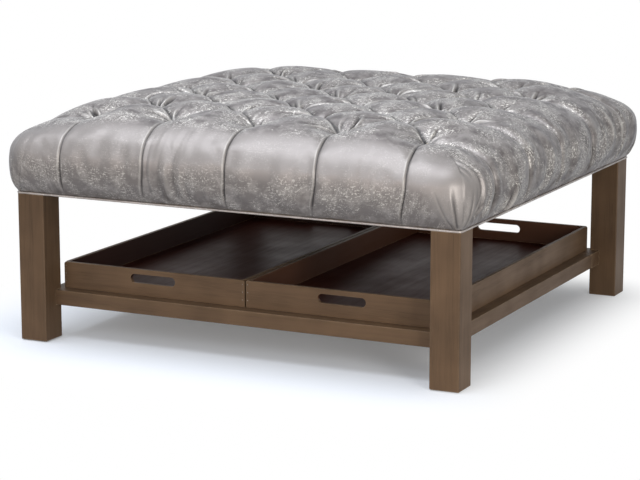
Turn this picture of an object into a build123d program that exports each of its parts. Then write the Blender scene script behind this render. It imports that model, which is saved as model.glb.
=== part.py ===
from build123d import *
import math
import os

# Ottoman coffee table: a square tufted top on four straight legs, with a low shelf that holds two
# loose trays side by side. Millimetres, +Z up, +X to the right and -Y to the front. The origin is on
# the floor, under the middle of the table.

# Legs and deck height
frame_side = 1016.0
leg_side = 63.5
leg_ease = 2.5
leg_foot_ease = 1.0
deck_height = 320.0

# Glides nailed under the legs
glide_radius = 11.0
glide_height = 2.0
glide_ease = 0.8
glide_nail_radius = 1.4
glide_nail_length = 16.0

# Bolts that hold each leg to the deck
hanger_bolt_radius = 4.0
hanger_bolt_inset = 44.0
hanger_bolt_in_leg = 60.0
hanger_bolt_above_nut = 4.0
washer_radius = 10.0
washer_thickness = 2.0
nut_radius = 7.5
nut_height = 6.5
nut_sides = 6

# Deck frame under the upholstery
cover_thickness = 2.0
deck_rail_thickness = 22.0
deck_rail_height = 70.0
deck_corner_ease = 7.0
corner_block_leg = 110.0
corner_block_height = 45.0
corner_screw_radius = 2.0
corner_screw_length = 40.0
corner_screw_along_share = 0.7
deck_board_thickness = 12.0
board_screw_radius = 2.0
board_screw_head_radius = 4.0
board_screw_head_height = 2.4
board_screw_length = 38.0
board_screws_per_side = 6
cross_rail_share = 0.75

# Shelf between the legs
shelf_side = 933.0
shelf_thickness = 32.5
shelf_underside = 75.0
shelf_rail_width = 70.0
shelf_ease = 2.0
panel_thickness = 15.0
panel_lip = 10.0
housing_clearance = 0.2
dowel_radius = 4.0
dowel_length = 40.0
dowel_inset = 18.0
leg_dowel_length = 52.0
panel_screw_radius = 2.0
panel_screw_length = 26.0
panel_screws_per_side = 3

# Trays
tray_setback = 28.5
tray_gap = 3.0
tray_leg_clearance = 4.5
tray_lift = 0.3
tray_wall = 9.0
tray_height = 57.0
tray_corner_radius = 5.0
tray_edge_ease = 1.0
tray_bottom_thickness = 6.0
tray_bottom_rise = 1.0
tray_groove_depth = 4.0
slot_length = 108.0
slot_height = 19.0
slot_drop = 20.5
brad_radius = 0.7
brad_length = 25.0
brads_per_corner = 3

# Foam, cover and welt
foam_side = 950.0
foam_thickness = 42.0
welt_diameter = 5.0
welt_corner_radius = 7.0
bulge_reach = 39.0
bulge_height = 90.0
shoulder_radius = 60.0
shoulder_turn = 60.0
crown_radius = 375.0
crown_turn = 28.0
side_sections = 4
shoulder_sections = 3
crown_sections = 8
plan_radius_at_welt = 8.0
plan_radius_at_bulge = 98.0
plan_radius_draw_share = 0.3

# Tufts, the folds between them and the pleats over the edge
tufts_per_side = 5
tuft_spacing = 193.0
pit_radius = 38.0
pit_floor_radius = 4.0
pit_depth = 44.0
pit_mid_radius_share = 0.36
pit_mid_depth_share = 0.38
fold_half_width = 44.0
fold_depth = 19.0
fold_mid_width_share = 0.36
fold_mid_depth_share = 0.36
fold_floor_half_width = 0.8
pleat_half_width = 34.0
pleat_depth = 13.0
pleat_step_shares = [(-1.0, 0.0), (-0.36, 0.38), (0.0, 1.0), (0.36, 0.38), (1.0, 0.0)]
twine_radius = 1.2
twine_hole_radius = 1.6
board_hole_radius = 3.0
knot_radius = 3.2
knot_height = 2.0
tuft_washer_radius = 10.0
tuft_washer_thickness = 2.5

# Cloth under the deck and its staples
dust_cover_thickness = 0.8
dust_cover_inset = 8.0
dust_cover_leg_gap = 3.0
staple_crown = 10.0
staple_wire = 0.9
staple_leg = 7.0
staples_per_side = 9

# How far a cutting shape runs past what it cuts, and how far the rims of the folds stand over the crown
overrun = 5.0
skin_overrun = 1.5
rim_lift = 0.3

half_frame = frame_side / 2
leg_inner = half_frame - leg_side
leg_centre = half_frame - leg_side / 2
rail_outer = half_frame - cover_thickness
rail_inner = rail_outer - deck_rail_thickness
board_underside = deck_height + deck_rail_height
board_top = board_underside + deck_board_thickness
foam_top = board_top + foam_thickness
half_shelf = shelf_side / 2
shelf_top = shelf_underside + shelf_thickness
panel_side = shelf_side - 2 * shelf_rail_width + 2 * panel_lip
panel_underside = shelf_top - panel_thickness
bolt_place = half_frame - hanger_bolt_inset
tray_floor = shelf_top + tray_lift
tray_length = shelf_side - 2 * tray_setback
tray_width = leg_inner - tray_leg_clearance - tray_gap / 2
tray_centre = (tray_gap + tray_width) / 2
corners = [(-1, -1), (1, -1), (-1, 1), (1, 1)]
quarter_turn = 90
half_turn = 180
side_turns = [0, 90, 180, 270]

os.makedirs("parts", exist_ok=True)


def save(name, shape):
    export_step(shape, "parts/" + name + ".step")


def block(low, high):
    """A box between two opposite corners."""
    size = [b - a for a, b in zip(low, high)]
    middle = [(a + b) / 2 for a, b in zip(low, high)]
    return Pos(*middle) * Box(*size)


def rod(radius, start, end):
    """A round bar from one point to another."""
    line = Vector(*end) - Vector(*start)
    plane = Plane(origin=start, z_dir=line)
    return extrude(plane * Circle(radius), line.length)


def group(solids):
    return Compound(children=solids)


def spread(count, span):
    """Places of evenly spaced things over a span, centred on zero, half a step in at each end."""
    return [span * ((i + 1 / 2) / count - 1 / 2) for i in range(count)]


# Places of the tufts, as a square grid with a second grid in its gaps
def tuft_places():
    middle = (tufts_per_side - 1) / 2
    outer = [((i - middle) * tuft_spacing, (j - middle) * tuft_spacing)
             for i in range(tufts_per_side) for j in range(tufts_per_side)]
    inner = [((i - middle + 1 / 2) * tuft_spacing, (j - middle + 1 / 2) * tuft_spacing)
             for i in range(tufts_per_side - 1) for j in range(tufts_per_side - 1)]
    return outer + inner


def tuft_shafts(radius, bottom, top):
    return [rod(radius, (x, y, bottom), (x, y, top)) for x, y in tuft_places()]


# Legs
def hanger_bolt(sx, sy, radius):
    x, y = sx * bolt_place, sy * bolt_place
    top = deck_height + corner_block_height + washer_thickness + nut_height + hanger_bolt_above_nut
    return rod(radius, (x, y, deck_height - hanger_bolt_in_leg), (x, y, top))


def leg_dowel(sx, sy):
    """A dowel across the corner of the shelf into the leg, at half the shelf's thickness."""
    reach = leg_dowel_length / 2 / math.sqrt(2)
    z = shelf_underside + shelf_thickness / 2
    start = [s * (half_shelf - reach) for s in (sx, sy)]
    end = [s * (half_shelf + reach) for s in (sx, sy)]
    return rod(dowel_radius, (*start, z), (*end, z))


def shelf_space():
    """The room that the legs leave for the corners of the shelf."""
    half = half_shelf + housing_clearance
    return block((-half, -half, shelf_underside), (half, half, shelf_top + housing_clearance))


def leg(sx, sy):
    outline = RectangleRounded(leg_side, leg_side, leg_ease)
    post = Pos(sx * leg_centre, sy * leg_centre, glide_height) * extrude(outline, deck_height - glide_height)
    post = chamfer(post.faces().sort_by(Axis.Z)[0].edges(), leg_foot_ease)
    nail = rod(glide_nail_radius, (sx * leg_centre, sy * leg_centre, 0),
               (sx * leg_centre, sy * leg_centre, glide_height + glide_nail_length))
    return post - shelf_space() - hanger_bolt(sx, sy, hanger_bolt_radius) - leg_dowel(sx, sy) - nail


def glide(sx, sy):
    x, y = sx * leg_centre, sy * leg_centre
    foot = rod(glide_radius, (x, y, 0), (x, y, glide_height))
    foot = fillet(foot.edges().group_by(Axis.Z)[0], glide_ease)
    return foot + rod(glide_nail_radius, (x, y, glide_height), (x, y, glide_height + glide_nail_length))


def build_legs():
    names = {(-1, -1): "front_left", (1, -1): "front_right", (-1, 1): "back_left", (1, 1): "back_right"}
    for corner in corners:
        save("leg_" + names[corner], leg(*corner))
    save("leg_glides", group([glide(*corner) for corner in corners]))


# Deck frame: rails, cross rails, corner blocks and the board on top
def corner_block(sx, sy):
    inner = rail_inner - corner_block_leg
    outline = Polyline((sx * rail_inner, sy * rail_inner), (sx * inner, sy * rail_inner),
                       (sx * rail_inner, sy * inner), close=True)
    solid = extrude(Pos(0, 0, deck_height) * make_face(outline), corner_block_height, dir=(0, 0, 1))
    for screw in corner_screws(sx, sy):
        solid -= screw
    return solid - hanger_bolt(sx, sy, hanger_bolt_radius)


def corner_screws(sx, sy):
    """One screw into each rail, from the sloping face of the corner block."""
    along = rail_inner - corner_block_leg * corner_screw_along_share
    z = deck_height + corner_block_height / 2
    depth = rail_inner - corner_block_leg * (1 - corner_screw_along_share)
    into_side = rod(corner_screw_radius, (sx * depth, sy * along, z),
                    (sx * (depth + corner_screw_length), sy * along, z))
    into_front = rod(corner_screw_radius, (sx * along, sy * depth, z),
                     (sx * along, sy * (depth + corner_screw_length), z))
    return [into_side, into_front]


def washer(sx, sy):
    x, y = sx * bolt_place, sy * bolt_place
    z = deck_height + corner_block_height
    ring = rod(washer_radius, (x, y, z), (x, y, z + washer_thickness))
    return ring - hanger_bolt(sx, sy, hanger_bolt_radius)


def nut(sx, sy):
    z = deck_height + corner_block_height + washer_thickness
    outline = RegularPolygon(nut_radius, nut_sides)
    solid = Pos(sx * bolt_place, sy * bolt_place, z) * extrude(outline, nut_height)
    return solid - hanger_bolt(sx, sy, hanger_bolt_radius)


def board_screw_places():
    """Places along the rails, clear of the corners, as (x, y)."""
    line = (rail_outer + rail_inner) / 2
    steps = spread(board_screws_per_side, 2 * rail_inner)
    front_and_back = [(step, s * line) for s in (-1, 1) for step in steps]
    return front_and_back + [(y, x) for x, y in front_and_back]


def board_screw(x, y):
    head_bottom = board_top - board_screw_head_height
    shank = rod(board_screw_radius, (x, y, board_top - board_screw_length), (x, y, head_bottom))
    head = Pos(x, y, head_bottom + board_screw_head_height / 2) * Cone(
        board_screw_radius, board_screw_head_radius, board_screw_head_height)
    return shank + head


def deck_board():
    board = block((-rail_outer, -rail_outer, board_underside), (rail_outer, rail_outer, board_top))
    holes = tuft_shafts(board_hole_radius, board_underside - overrun, board_top + overrun)
    return board - holes - [board_screw(x, y) for x, y in board_screw_places()]


def drilled_rail(rail):
    cuts = [board_screw(x, y) for x, y in board_screw_places()]
    for corner in corners:
        cuts += corner_screws(*corner)
    return rail - cuts - staples()


def long_deck_rail(side):
    """The front or back rail, which runs the full width and has the frame's rounded corners."""
    rail = block((-rail_outer, -rail_outer, deck_height), (rail_outer, -rail_inner, board_underside))
    rail = fillet(rail.edges().filter_by(Axis.Z).group_by(Axis.Y)[0], deck_corner_ease)
    if side > 0:
        rail = mirror(rail, Plane.XZ)
    return drilled_rail(rail)


def short_deck_rail(side):
    """The left or right rail, between the front and back rails."""
    near, far = sorted((side * rail_inner, side * rail_outer))
    return drilled_rail(block((near, -rail_inner, deck_height), (far, rail_inner, board_underside)))


def build_deck():
    save("deck_rail_front", long_deck_rail(-1))
    save("deck_rail_back", long_deck_rail(1))
    save("deck_rail_left", short_deck_rail(-1))
    save("deck_rail_right", short_deck_rail(1))
    # The cross rails stand between two columns of tufts, so that the twines pass beside them.
    cross = tuft_spacing * cross_rail_share
    for name, side in (("left", -1), ("right", 1)):
        low = (side * cross - deck_rail_thickness / 2, -rail_inner, deck_height)
        high = (side * cross + deck_rail_thickness / 2, rail_inner, board_underside)
        save("deck_cross_rail_" + name, block(low, high))
    save("deck_board", deck_board())
    save("deck_board_screws", group([board_screw(x, y) for x, y in board_screw_places()]))
    save("corner_blocks", group([corner_block(*corner) for corner in corners]))
    save("corner_block_screws", group([screw for corner in corners for screw in corner_screws(*corner)]))
    save("leg_bolts", group([hanger_bolt(*corner, hanger_bolt_radius) for corner in corners]))
    save("leg_bolt_washers", group([washer(*corner) for corner in corners]))
    save("leg_bolt_nuts", group([nut(*corner) for corner in corners]))


# Shelf: four rails with a panel let into them
def rail_dowels():
    """Two dowels in each end of the side rails, into the front and back rails."""
    line = half_shelf - shelf_rail_width
    z = shelf_underside + (shelf_thickness - panel_thickness) / 2
    places = [half_shelf - dowel_inset, half_shelf - shelf_rail_width + dowel_inset + panel_lip]
    return [rod(dowel_radius, (sx * x, sy * (line - dowel_length / 2), z),
                (sx * x, sy * (line + dowel_length / 2), z))
            for sx, sy in corners for x in places]


def panel_screws():
    """Screws up through the lip of the rails into the panel."""
    line = panel_side / 2 - panel_lip / 2
    steps = spread(panel_screws_per_side, panel_side)
    front_and_back = [(step, s * line) for s in (-1, 1) for step in steps]
    places = front_and_back + [(y, x) for x, y in front_and_back]
    return [rod(panel_screw_radius, (x, y, shelf_underside), (x, y, shelf_underside + panel_screw_length))
            for x, y in places]


def shelf_panel():
    half = panel_side / 2
    return block((-half, -half, panel_underside), (half, half, shelf_top)) - panel_screws()


def shelf_rail(low, high, length_axis, depth_axis, outer):
    """A rail with its two outer long edges rounded; outer is 0 or -1, the end of depth_axis it is at."""
    rail = block((*low, shelf_underside), (*high, shelf_top))
    rail = fillet(rail.edges().filter_by(length_axis).group_by(depth_axis)[outer], shelf_ease)
    half = panel_side / 2
    rail -= block((-half, -half, panel_underside), (half, half, shelf_top + overrun))
    return rail - rail_dowels() - panel_screws() - [leg_dowel(*corner) for corner in corners]


def build_shelf():
    inner = half_shelf - shelf_rail_width
    save("shelf_rail_front", shelf_rail((-half_shelf, -half_shelf), (half_shelf, -inner), Axis.X, Axis.Y, 0))
    save("shelf_rail_back", shelf_rail((-half_shelf, inner), (half_shelf, half_shelf), Axis.X, Axis.Y, -1))
    save("shelf_rail_left", shelf_rail((-half_shelf, -inner), (-inner, inner), Axis.Y, Axis.X, 0))
    save("shelf_rail_right", shelf_rail((inner, -inner), (half_shelf, inner), Axis.Y, Axis.X, -1))
    save("shelf_panel", shelf_panel())
    save("shelf_rail_dowels", group(rail_dowels()))
    save("shelf_leg_dowels", group([leg_dowel(*corner) for corner in corners]))
    save("shelf_panel_screws", group(panel_screws()))


# Trays: four walls and a bottom, held by thin nails
def tray_bottom(centre):
    half_width = tray_width / 2 - tray_wall + tray_groove_depth
    half_length = tray_length / 2 - tray_wall + tray_groove_depth
    low = tray_floor + tray_bottom_rise
    return block((centre - half_width, -half_length, low),
                 (centre + half_width, half_length, low + tray_bottom_thickness))


def tray_brads(centre):
    """Nails through the front and back walls into the ends of the side walls."""
    usable = tray_height - tray_bottom_thickness - tray_bottom_rise
    heights = [tray_floor + tray_height - usable / 2 + step for step in spread(brads_per_corner, usable)]
    across = tray_width / 2 - tray_wall / 2
    return [rod(brad_radius, (centre + sx * across, sy * tray_length / 2, z),
                (centre + sx * across, sy * (tray_length / 2 - brad_length), z))
            for sx, sy in corners for z in heights]


def slotted_wall(centre, side):
    """A front or back wall, with its top corners rounded and a hand slot through it."""
    wall = Pos(0, 0, tray_floor + tray_height / 2) * Box(tray_width, tray_wall, tray_height)
    wall = fillet(wall.edges().filter_by(Axis.Y).group_by(Axis.Z)[-1], tray_corner_radius)
    slot = Plane.XZ * SlotOverall(slot_length, slot_height)
    slot = extrude(slot, tray_wall, both=True)
    wall -= Pos(0, 0, tray_floor + tray_height - slot_drop) * slot
    wall = fillet(wall.faces().sort_by(Axis.Y)[0].edges() + wall.faces().sort_by(Axis.Y)[-1].edges(),
                  tray_edge_ease)
    wall = Pos(centre, side * (tray_length - tray_wall) / 2, 0) * wall
    return wall - tray_bottom(centre) - tray_brads(centre)


def side_wall(centre, side):
    half_length = tray_length / 2 - tray_wall
    wall = Pos(centre + side * (tray_width - tray_wall) / 2, 0, tray_floor + tray_height / 2) * Box(
        tray_wall, 2 * half_length, tray_height)
    wall = fillet(wall.edges().filter_by(Axis.Y), tray_edge_ease)
    return wall - tray_bottom(centre) - tray_brads(centre)


def build_tray(name, centre):
    save(name + "_front_wall", slotted_wall(centre, -1))
    save(name + "_back_wall", slotted_wall(centre, 1))
    save(name + "_left_wall", side_wall(centre, -1))
    save(name + "_right_wall", side_wall(centre, 1))
    save(name + "_bottom", tray_bottom(centre))
    save(name + "_brads", group(tray_brads(centre)))


# Edge profile of the upholstery, as reach beyond the frame and height above the deck's underside
def side_point(share, depth=0, foot_reach=0):
    """On the arc from the welt, at share 0, to the widest point, at share 1."""
    run = bulge_reach - depth - foot_reach
    rise = bulge_height - welt_diameter
    radius = (run ** 2 + rise ** 2) / (2 * run)
    angle = math.asin(rise / radius) * (1 - share)
    return (bulge_reach - depth - radius * (1 - math.cos(angle)), bulge_height - radius * math.sin(angle))


def shoulder_point(degrees, depth=0):
    """On the arc over the shoulder, by its turn from the widest point."""
    radius = shoulder_radius - depth
    turn = math.radians(degrees)
    return (bulge_reach - shoulder_radius + radius * math.cos(turn), bulge_height + radius * math.sin(turn))


def crown_point(degrees, depth=0):
    """On the wide arc from the shoulder to the top, by its turn from the shoulder's end."""
    start = math.radians(shoulder_turn)
    turn = start + math.radians(degrees)
    centre_reach = bulge_reach - shoulder_radius - (crown_radius - shoulder_radius) * math.cos(start)
    centre_height = bulge_height - (crown_radius - shoulder_radius) * math.sin(start)
    radius = crown_radius - depth
    return (centre_reach + radius * math.cos(turn), centre_height + radius * math.sin(turn))


def crown_turn_at(reach):
    """The turn on the crown arc at which the surface is at this reach."""
    start = math.radians(shoulder_turn)
    centre_reach = bulge_reach - shoulder_radius - (crown_radius - shoulder_radius) * math.cos(start)
    return math.degrees(math.acos((reach - centre_reach) / crown_radius) - start)


def plan_radius(reach, height):
    """Radius of the cushion's corners seen from above: tight at the welt and full at the bulge."""
    if height < bulge_height:
        rise = (height - welt_diameter) / (bulge_height - welt_diameter)
        gain = plan_radius_at_bulge - plan_radius_at_welt
        return plan_radius_at_welt + gain * math.sin(rise * math.pi / 2)
    return plan_radius_at_bulge - plan_radius_draw_share * (bulge_reach - reach)


def profile_points():
    """Places on the edge profile from the welt to the top, one for each section of the cushion."""
    points = [side_point(i / side_sections) for i in range(side_sections)]
    points += [shoulder_point(shoulder_turn * i / shoulder_sections) for i in range(shoulder_sections)]
    points += [crown_point(crown_turn * i / crown_sections) for i in range(crown_sections + 1)]
    return points


def crown_height():
    return deck_height + crown_point(crown_turn)[1]


def plain_cushion():
    sections = []
    for reach, height in profile_points():
        side = frame_side + 2 * reach
        outline = RectangleRounded(side, side, plan_radius(reach, height))
        sections.append(Pos(0, 0, deck_height + height) * outline)
    return loft(sections)


# Cutting shapes for the tufts, folds and pleats
def tuft_pit(x, y):
    """A funnel with a swelling side, and the hole for the twine below it."""
    top = crown_height() + rim_lift
    floor = crown_height() - pit_depth
    middle = (pit_radius * pit_mid_radius_share, top - pit_depth * pit_mid_depth_share)
    outline = Line((0, top + overrun), (pit_radius, top + overrun))
    outline += Line((pit_radius, top + overrun), (pit_radius, top))
    outline += ThreePointArc((pit_radius, top), middle, (pit_floor_radius, floor))
    outline += Line((pit_floor_radius, floor), (twine_hole_radius, floor))
    outline += Line((twine_hole_radius, floor), (twine_hole_radius, foam_top - overrun))
    outline += Line((twine_hole_radius, foam_top - overrun), (0, foam_top - overrun))
    outline += Line((0, foam_top - overrun), (0, top + overrun))
    return Pos(x, y, 0) * revolve(Plane.XZ * make_face(outline), Axis.Z)


def fold(start, end):
    """A straight valley between two swelling sides, along a diagonal row of tufts."""
    top = crown_height() + rim_lift
    width = fold_half_width
    share = (fold_half_width * fold_mid_width_share, -fold_depth * fold_mid_depth_share)
    outline = Line((-width, overrun), (width, overrun))
    outline += Line((width, overrun), (width, 0))
    outline += ThreePointArc((width, 0), share, (fold_floor_half_width, -fold_depth))
    outline += Line((fold_floor_half_width, -fold_depth), (-fold_floor_half_width, -fold_depth))
    outline += ThreePointArc((-fold_floor_half_width, -fold_depth), (-share[0], share[1]), (-width, 0))
    outline += Line((-width, 0), (-width, overrun))
    along = Vector(*end) - Vector(*start)
    plane = Plane(origin=(*start, top), x_dir=(-along.Y, along.X, 0), z_dir=along)
    if plane.y_dir.Z < 0:
        plane = Plane(origin=(*start, top), x_dir=(along.Y, -along.X, 0), z_dir=along)
    return extrude(plane * make_face(outline), along.length)


def folds():
    """Every row that holds more than one tuft, along one diagonal."""
    middle = (tufts_per_side - 1) / 2
    cuts = []
    for k in range(2 - tufts_per_side, tufts_per_side - 1):
        first = (max(k, 0), max(-k, 0))
        last = (first[0] + tufts_per_side - 1 - abs(k), first[1] + tufts_per_side - 1 - abs(k))
        start = [(n - middle) * tuft_spacing for n in first]
        end = [(n - middle) * tuft_spacing for n in last]
        cuts.append(fold(start, end))
    return cuts


def pleat_section(x, depth):
    """The space outside the front edge profile drawn in by a depth, at one place along the front."""
    reach_at_tuft = tuft_spacing * (tufts_per_side - 1) / 2 - half_frame
    turn = crown_turn_at(reach_at_tuft)
    outside = bulge_reach + pleat_half_width
    above = crown_point(crown_turn)[1] + pleat_half_width
    inner = crown_point(turn, depth)
    foot = side_point(0, depth, skin_overrun)
    below = welt_diameter - overrun

    def place(point):
        return (x, -half_frame - point[0], deck_height + point[1])

    edge = ThreePointArc(place(inner), place(crown_point(turn / 2, depth)), place(crown_point(0, depth)))
    edge += ThreePointArc(place(shoulder_point(shoulder_turn, depth)),
                          place(shoulder_point(shoulder_turn / 2, depth)), place(shoulder_point(0, depth)))
    edge += ThreePointArc(place(shoulder_point(0, depth)), place(side_point(1 / 2, depth, skin_overrun)),
                          place(foot))
    edge += Line(place(foot), place((foot[0], below)))
    edge += Line(place((foot[0], below)), place((outside, below)))
    edge += Line(place((outside, below)), place((outside, above)))
    edge += Line(place((outside, above)), place((inner[0], above)))
    edge += Line(place((inner[0], above)), place(inner))
    return make_face(edge)


def pleat(x):
    """A groove from an outer tuft over the edge and down to the welt, where it runs out."""
    sections = []
    for across_share, depth_share in pleat_step_shares:
        depth = pleat_depth * depth_share if depth_share else -skin_overrun
        sections.append(pleat_section(x + across_share * pleat_half_width, depth))
    return loft(sections, ruled=True)


def pleats():
    """The pleats of two opposite sides."""
    middle = (tufts_per_side - 1) / 2
    front = [pleat((i - middle) * tuft_spacing) for i in range(tufts_per_side)]
    return front + [Rot(0, 0, half_turn) * cut for cut in front]


def tufted_cushion():
    half_foam = foam_side / 2
    body = plain_cushion()
    body -= block((-rail_outer, -rail_outer, deck_height), (rail_outer, rail_outer, board_top))
    body -= block((-half_foam, -half_foam, board_top - overrun), (half_foam, half_foam, foam_top))
    body -= [tuft_pit(x, y) for x, y in tuft_places()]
    for cuts in (folds(), pleats()):
        body -= cuts
        body -= [Rot(0, 0, quarter_turn) * cut for cut in cuts]
    return body


def foam_slab():
    half_foam = foam_side / 2
    slab = block((-half_foam, -half_foam, board_top), (half_foam, half_foam, foam_top))
    return slab - tuft_shafts(twine_hole_radius, board_top - overrun, foam_top + overrun)


def tuft_twine(x, y):
    """A twine from the foot of a tuft down through the board, with a knot at each end."""
    top = crown_height() - pit_depth
    bottom = board_underside - tuft_washer_thickness
    line = rod(twine_radius, (x, y, bottom - knot_height), (x, y, top + knot_height))
    upper = rod(knot_radius, (x, y, top), (x, y, top + knot_height))
    lower = rod(knot_radius, (x, y, bottom - knot_height), (x, y, bottom))
    return line + upper + lower


def tuft_washer(x, y):
    bottom = board_underside - tuft_washer_thickness
    disc = rod(tuft_washer_radius, (x, y, bottom), (x, y, board_underside))
    return disc - rod(twine_hole_radius, (x, y, bottom - overrun), (x, y, board_underside + overrun))


def welt():
    radius = welt_diameter / 2
    half = rail_outer + radius
    path = RectangleRounded(2 * half, 2 * half, welt_corner_radius).wire()
    path = Pos(0, 0, deck_height + radius) * path
    section = Plane(origin=(0, -half, deck_height + radius), z_dir=(1, 0, 0)) * Circle(radius)
    return sweep(section, path)


def dust_cover():
    half = rail_outer - dust_cover_inset
    low = deck_height - dust_cover_thickness
    cloth = block((-half, -half, low), (half, half, deck_height))
    cut = leg_inner - dust_cover_leg_gap
    for sx, sy in corners:
        near = (min(sx * cut, sx * half_frame), min(sy * cut, sy * half_frame), low - overrun)
        far = (max(sx * cut, sx * half_frame), max(sy * cut, sy * half_frame), deck_height + overrun)
        cloth -= block(near, far)
    return cloth - staples()


def staple(place):
    """A staple along the front rail: a crown under the cloth and two legs up into the rail."""
    y = -(rail_outer + rail_inner) / 2
    crown_top = deck_height - dust_cover_thickness
    half = staple_crown / 2
    solid = block((place - half, y - staple_wire / 2, crown_top - staple_wire),
                  (place + half, y + staple_wire / 2, crown_top))
    for side in (-1, 1):
        x = place + side * (half - staple_wire / 2)
        solid += block((x - staple_wire / 2, y - staple_wire / 2, crown_top - staple_wire),
                       (x + staple_wire / 2, y + staple_wire / 2, crown_top + staple_leg))
    return solid


def staples():
    front = [staple(step) for step in spread(staples_per_side, 2 * leg_inner)]
    return [Rot(0, 0, turn) * item for turn in side_turns for item in front]


def build_upholstery():
    save("seat_foam", foam_slab())
    save("tufted_cushion", tufted_cushion())
    save("tuft_twines", group([tuft_twine(x, y) for x, y in tuft_places()]))
    save("tuft_washers", group([tuft_washer(x, y) for x, y in tuft_places()]))
    save("welt", welt())
    save("dust_cover", dust_cover())
    save("dust_cover_staples", group(staples()))


build_legs()
build_deck()
build_shelf()
build_tray("left_tray", -tray_centre)
build_tray("right_tray", tray_centre)
build_upholstery()
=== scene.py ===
# %% [markdown]
# # An ottoman coffee table
#
# A square table with a deep tufted fabric top, four straight legs of stained hardwood, and a low
# shelf that holds two loose trays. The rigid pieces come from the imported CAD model, in metres, and
# get their finishes here. The soft pieces are made here as meshes and stand for their CAD solids.

# %% Load the frame
import bpy
import math
import numpy as np
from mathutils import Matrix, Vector


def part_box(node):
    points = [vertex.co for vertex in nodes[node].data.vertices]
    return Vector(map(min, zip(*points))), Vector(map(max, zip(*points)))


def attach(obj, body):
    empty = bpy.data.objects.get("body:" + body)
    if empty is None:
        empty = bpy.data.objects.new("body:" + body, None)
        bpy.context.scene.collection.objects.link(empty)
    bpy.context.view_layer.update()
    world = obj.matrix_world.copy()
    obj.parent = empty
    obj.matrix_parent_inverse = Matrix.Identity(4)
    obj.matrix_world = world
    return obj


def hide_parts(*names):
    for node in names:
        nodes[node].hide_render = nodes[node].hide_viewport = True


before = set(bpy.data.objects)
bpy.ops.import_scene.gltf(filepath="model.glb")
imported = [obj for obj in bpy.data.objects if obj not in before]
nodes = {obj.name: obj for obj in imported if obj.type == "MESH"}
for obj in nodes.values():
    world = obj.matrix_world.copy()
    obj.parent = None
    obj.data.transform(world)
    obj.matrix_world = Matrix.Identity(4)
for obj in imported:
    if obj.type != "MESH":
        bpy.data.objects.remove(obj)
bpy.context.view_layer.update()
scene = bpy.context.scene
print("nodes:", len(nodes))

# %% [markdown]
# ## The camera
#
# The photograph was taken from the front right, a little above the top, with a long lens: its
# parallel edges barely converge. The camera's place, turn and lens were solved from the corners of
# the legs, the shelf and the trays, so a measured size lands on its pixel.

# %% Camera
camera_data = bpy.data.cameras.new("camera")
camera_data.sensor_width = 36.0
camera_data.lens = 123.66
camera_data.clip_end = 50.0
camera = bpy.data.objects.new("camera", camera_data)
camera.location = (2.0838, -4.3608, 1.1361)
camera.rotation_euler = (math.radians(90 - 11.284), 0.0, math.radians(25.976))
scene.collection.objects.link(camera)
scene.camera = camera
print("camera is", round(camera.location.length, 3), "m from the table")

# %% [markdown]
# ## Floor, background and light
#
# The table stands on a plain white sweep. Background paper would bounce white light on to the
# object, so the background is white only where the camera or a mirror-like reflection sees it. The
# light comes from four large soft boxes: one overhead, which draws the long highlight on the
# cushion's front shoulder, a high and a low one in front, and a weaker one on the right. The low one
# is warm, as light off a studio's floorboards is. The floor keeps the object's shadow.

# %% Colours, nodes and materials
def srgb(code):
    """A colour from its hex code, as the linear values that Blender works in."""
    parts = [int(code[i:i + 2], 16) / 255 for i in (1, 3, 5)]
    return tuple(c / 12.92 if c <= 0.04045 else ((c + 0.055) / 1.055) ** 2.4 for c in parts) + (1.0,)


def add(tree, kind, settings={}, links={}):
    """Adds a shader node. Settings are its own properties or its inputs' values, with colours as hex
    codes. Links are the sources of its inputs, where a node stands for its first output. Inputs go
    by name or number: 1 to 4 of a Map Range node are where it maps from and where it maps to."""
    node = tree.nodes.new("ShaderNode" + kind)
    for key, value in settings.items():
        value = srgb(value) if str(value).startswith("#") else value
        if isinstance(key, str) and hasattr(node, key):
            setattr(node, key, value)
        else:
            node.inputs[key].default_value = value
    for key, source in links.items():
        tree.links.new(getattr(source, "outputs", [source])[0], node.inputs[key])
    return node


def new_material(name):
    """A new material and its empty node tree."""
    material = bpy.data.materials.new(name)
    material.use_nodes = True
    material.node_tree.nodes.clear()
    return material, material.node_tree


print("mid grey is", [round(c, 3) for c in srgb("#808080")[:3]])

# %% World
ROOM_LIGHT = 0.3


def looked_at(tree):
    """1 for a ray from the camera or off a mirror-like or clear surface, and 0 for scattered light."""
    ray = add(tree, "LightPath")
    seen = add(tree, "Math", {"operation": "MAXIMUM"},
               {0: ray.outputs["Is Camera Ray"], 1: ray.outputs["Is Glossy Ray"]})
    return add(tree, "Math", {"operation": "MAXIMUM"}, {0: seen, 1: ray.outputs["Is Transmission Ray"]})


world = bpy.data.worlds.new("studio")
scene.world = world
world.use_nodes = True
air = world.node_tree
air.nodes.clear()
room = add(air, "Background", {"Color": "#FFFFFF", "Strength": ROOM_LIGHT})
white = add(air, "Background", {"Color": "#FFFFFF", "Strength": 1.0})
both = add(air, "MixShader", {}, {0: looked_at(air), 1: room, 2: white})
add(air, "OutputWorld", {}, {"Surface": both})
scene.view_settings.view_transform = "Standard"
print("world nodes:", len(air.nodes))

# %% Soft boxes
def soft_box(name, place, aim, size, watts, tint):
    """A rectangular lamp that looks at a point."""
    light = bpy.data.lights.new(name, "AREA")
    light.color = srgb(tint)[:3]
    light.shape = "RECTANGLE"
    light.size, light.size_y = size
    light.energy = watts
    lamp = bpy.data.objects.new(name, light)
    lamp.location = place
    lamp.rotation_euler = (Vector(aim) - Vector(place)).to_track_quat("-Z", "Y").to_euler()
    scene.collection.objects.link(lamp)


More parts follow.
